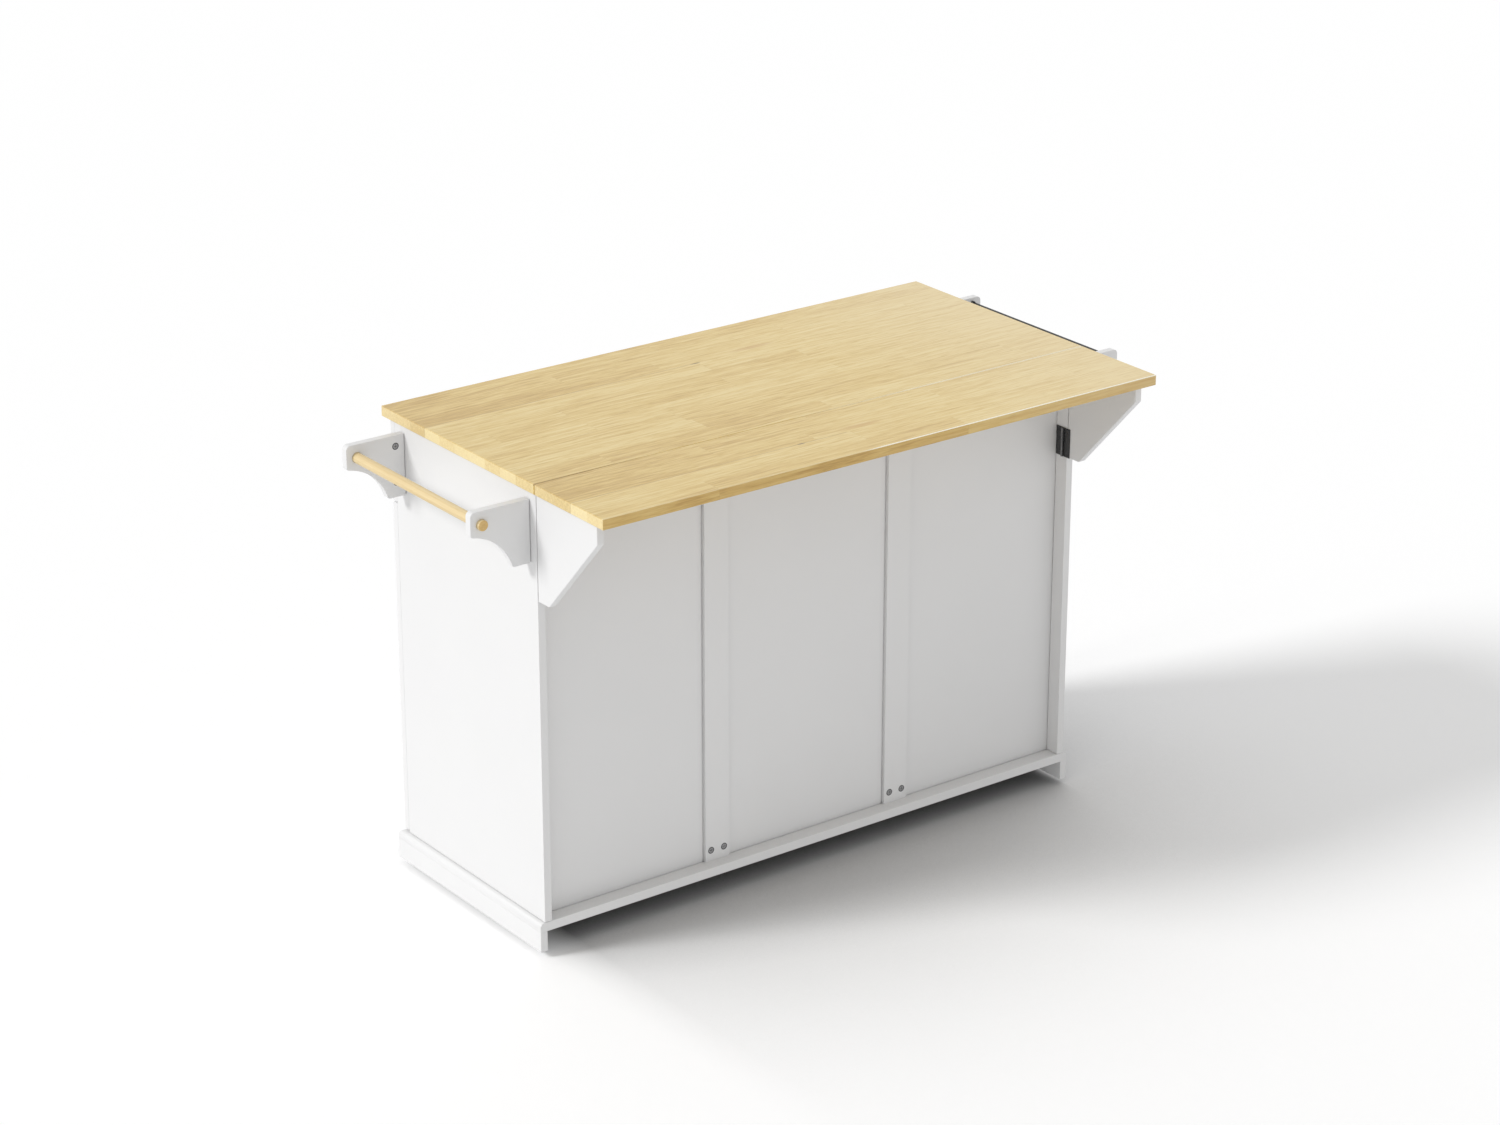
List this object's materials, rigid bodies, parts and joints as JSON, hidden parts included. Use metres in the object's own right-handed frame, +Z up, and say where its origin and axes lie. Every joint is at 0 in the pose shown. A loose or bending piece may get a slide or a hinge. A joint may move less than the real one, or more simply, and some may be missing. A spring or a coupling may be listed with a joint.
{
  "type": "drop leaf kitchen island",
  "caption": "White cabinet on hidden casters with a hardwood worktop, a drop leaf on swing-out brackets, drawers over doors, a towel bar at one end and a spice rack at the other.",
  "frame": {"origin": "on the floor, under the middle of the whole island's outline", "axes": "+X along the worktop towards the towel bar, +Y towards the drop leaf, drawers and doors face -Y, +Z up"},
  "size_m": [1.4912, 0.7352, 0.93],
  "materials": {
    "worktop_wood": "clear satin lacquer on glued-up hardwood",
    "white_paint": "white satin paint on board",
    "black_metal": "satin black",
    "plated_steel": "dull zinc plate",
    "wheel_grey": "matte"
  },
  "bodies": {
    "cabinet": {"countertop": "worktop_wood", "hinge_leaves_fixed": "black_metal", "side_panel_right": "white_paint", "side_panel_left": "white_paint", "divider_right": "white_paint", "divider_left": "white_paint", "floor_board": "white_paint", "top_rails": "white_paint", "drawer_rails": "white_paint", "back_panels": "white_paint", "back_stiles": "white_paint", "plinth_boards": "white_paint", "cam_locks": "plated_steel", "towel_bracket_front": "white_paint", "towel_bracket_rear": "white_paint", "towel_bar": "worktop_wood", "spice_bracket_front": "white_paint", "spice_bracket_rear": "white_paint", "spice_shelf": "white_paint", "spice_rail": "black_metal", "shelves": "white_paint", "shelf_pins": "plated_steel", "runner_rails": "plated_steel", "hinge_arms": "plated_steel", "caster_plates": "plated_steel"},
    "leaf": {"drop_leaf": "worktop_wood", "leaf_hinge_flaps": "black_metal"},
    "bracket_right": {"support_bracket_right": "white_paint", "bracket_hinge_flaps_right": "black_metal"},
    "bracket_left": {"support_bracket_left": "white_paint", "bracket_hinge_flaps_left": "black_metal"},
    "drawer_left_body": {"drawer_front_left": "white_paint", "drawer_box_left": "white_paint", "drawer_handle_left": "black_metal", "drawer_runners_left": "plated_steel"},
    "drawer_middle_body": {"drawer_front_middle": "white_paint", "drawer_box_middle": "white_paint", "drawer_handle_middle": "black_metal", "drawer_runners_middle": "plated_steel"},
    "drawer_right_body": {"drawer_front_right": "white_paint", "drawer_box_right": "white_paint", "drawer_handle_right": "black_metal", "drawer_runners_right": "plated_steel"},
    "door_left_body": {"door_left": "white_paint", "door_handle_left": "black_metal", "hinge_cups_left": "plated_steel"},
    "door_middle_body": {"door_middle": "white_paint", "door_handle_middle": "black_metal", "hinge_cups_middle": "plated_steel"},
    "door_right_body": {"door_right": "white_paint", "door_handle_right": "black_metal", "hinge_cups_right": "plated_steel"},
    "caster_front_right": {"caster_fork_front_right": "plated_steel"},
    "wheel_front_right": {"caster_wheel_front_right": "wheel_grey"},
    "caster_front_left": {"caster_fork_front_left": "plated_steel"},
    "wheel_front_left": {"caster_wheel_front_left": "wheel_grey"},
    "caster_rear_right": {"caster_fork_rear_right": "plated_steel"},
    "wheel_rear_right": {"caster_wheel_rear_right": "wheel_grey"},
    "caster_rear_left": {"caster_fork_rear_left": "plated_steel"},
    "wheel_rear_left": {"caster_wheel_rear_left": "wheel_grey"}
  },
  "joints": [
    {"name": "leaf_lift", "type": "hinge", "parent": "cabinet", "child": "leaf", "pos_m": [0, 0.156, 0.9069], "axis": [1, 0, 0], "range_deg": [0, 2.5]},
    {"name": "bracket_right_fold", "type": "hinge", "parent": "cabinet", "child": "bracket_right", "pos_m": [0.6039, 0.1374, 0.8], "axis": [0, 0, 1], "range_deg": [0, 90]},
    {"name": "bracket_left_fold", "type": "hinge", "parent": "cabinet", "child": "bracket_left", "pos_m": [-0.6039, 0.1374, 0.8], "axis": [0, 0, -1], "range_deg": [0, 90]},
    {"name": "drawer_left_slide", "type": "slide", "parent": "cabinet", "child": "drawer_left_body", "axis": [0, -1, 0], "range_m": [0, 0.3]},
    {"name": "drawer_middle_slide", "type": "slide", "parent": "cabinet", "child": "drawer_middle_body", "axis": [0, -1, 0], "range_m": [0, 0.3]},
    {"name": "drawer_right_slide", "type": "slide", "parent": "cabinet", "child": "drawer_right_body", "axis": [0, -1, 0], "range_m": [0, 0.3]},
    {"name": "door_left_swing", "type": "hinge", "parent": "cabinet", "child": "door_left_body", "pos_m": [-0.6205, -0.3376, 0.4085], "axis": [0, 0, -1], "range_deg": [0, 105]},
    {"name": "door_middle_swing", "type": "hinge", "parent": "cabinet", "child": "door_middle_body", "pos_m": [-0.2125, -0.3376, 0.4085], "axis": [0, 0, -1], "range_deg": [0, 105]},
    {"name": "door_right_swing", "type": "hinge", "parent": "cabinet", "child": "door_right_body", "pos_m": [0.6205, -0.3376, 0.4085], "axis": [0, 0, 1], "range_deg": [0, 105]},
    {"name": "caster_front_right_swivel", "type": "hinge", "parent": "cabinet", "child": "caster_front_right", "pos_m": [0.54, -0.2606, 0.045], "axis": [0, 0, 1], "continuous": true},
    {"name": "wheel_front_right_roll", "type": "hinge", "parent": "caster_front_right", "child": "wheel_front_right", "pos_m": [0.54, -0.2726, 0.019], "axis": [1, 0, 0], "continuous": true},
    {"name": "caster_front_left_swivel", "type": "hinge", "parent": "cabinet", "child": "caster_front_left", "pos_m": [-0.54, -0.2606, 0.045], "axis": [0, 0, 1], "continuous": true},
    {"name": "wheel_front_left_roll", "type": "hinge", "parent": "caster_front_left", "child": "wheel_front_left", "pos_m": [-0.54, -0.2726, 0.019], "axis": [1, 0, 0], "continuous": true},
    {"name": "caster_rear_right_swivel", "type": "hinge", "parent": "cabinet", "child": "caster_rear_right", "pos_m": [0.54, 0.0384, 0.045], "axis": [0, 0, 1], "continuous": true},
    {"name": "wheel_rear_right_roll", "type": "hinge", "parent": "caster_rear_right", "child": "wheel_rear_right", "pos_m": [0.54, 0.0264, 0.019], "axis": [1, 0, 0], "continuous": true},
    {"name": "caster_rear_left_swivel", "type": "hinge", "parent": "cabinet", "child": "caster_rear_left", "pos_m": [-0.54, 0.0384, 0.045], "axis": [0, 0, 1], "continuous": true},
    {"name": "wheel_rear_left_roll", "type": "hinge", "parent": "caster_rear_left", "child": "wheel_rear_left", "pos_m": [-0.54, 0.0264, 0.019], "axis": [1, 0, 0], "continuous": true}
  ]
}
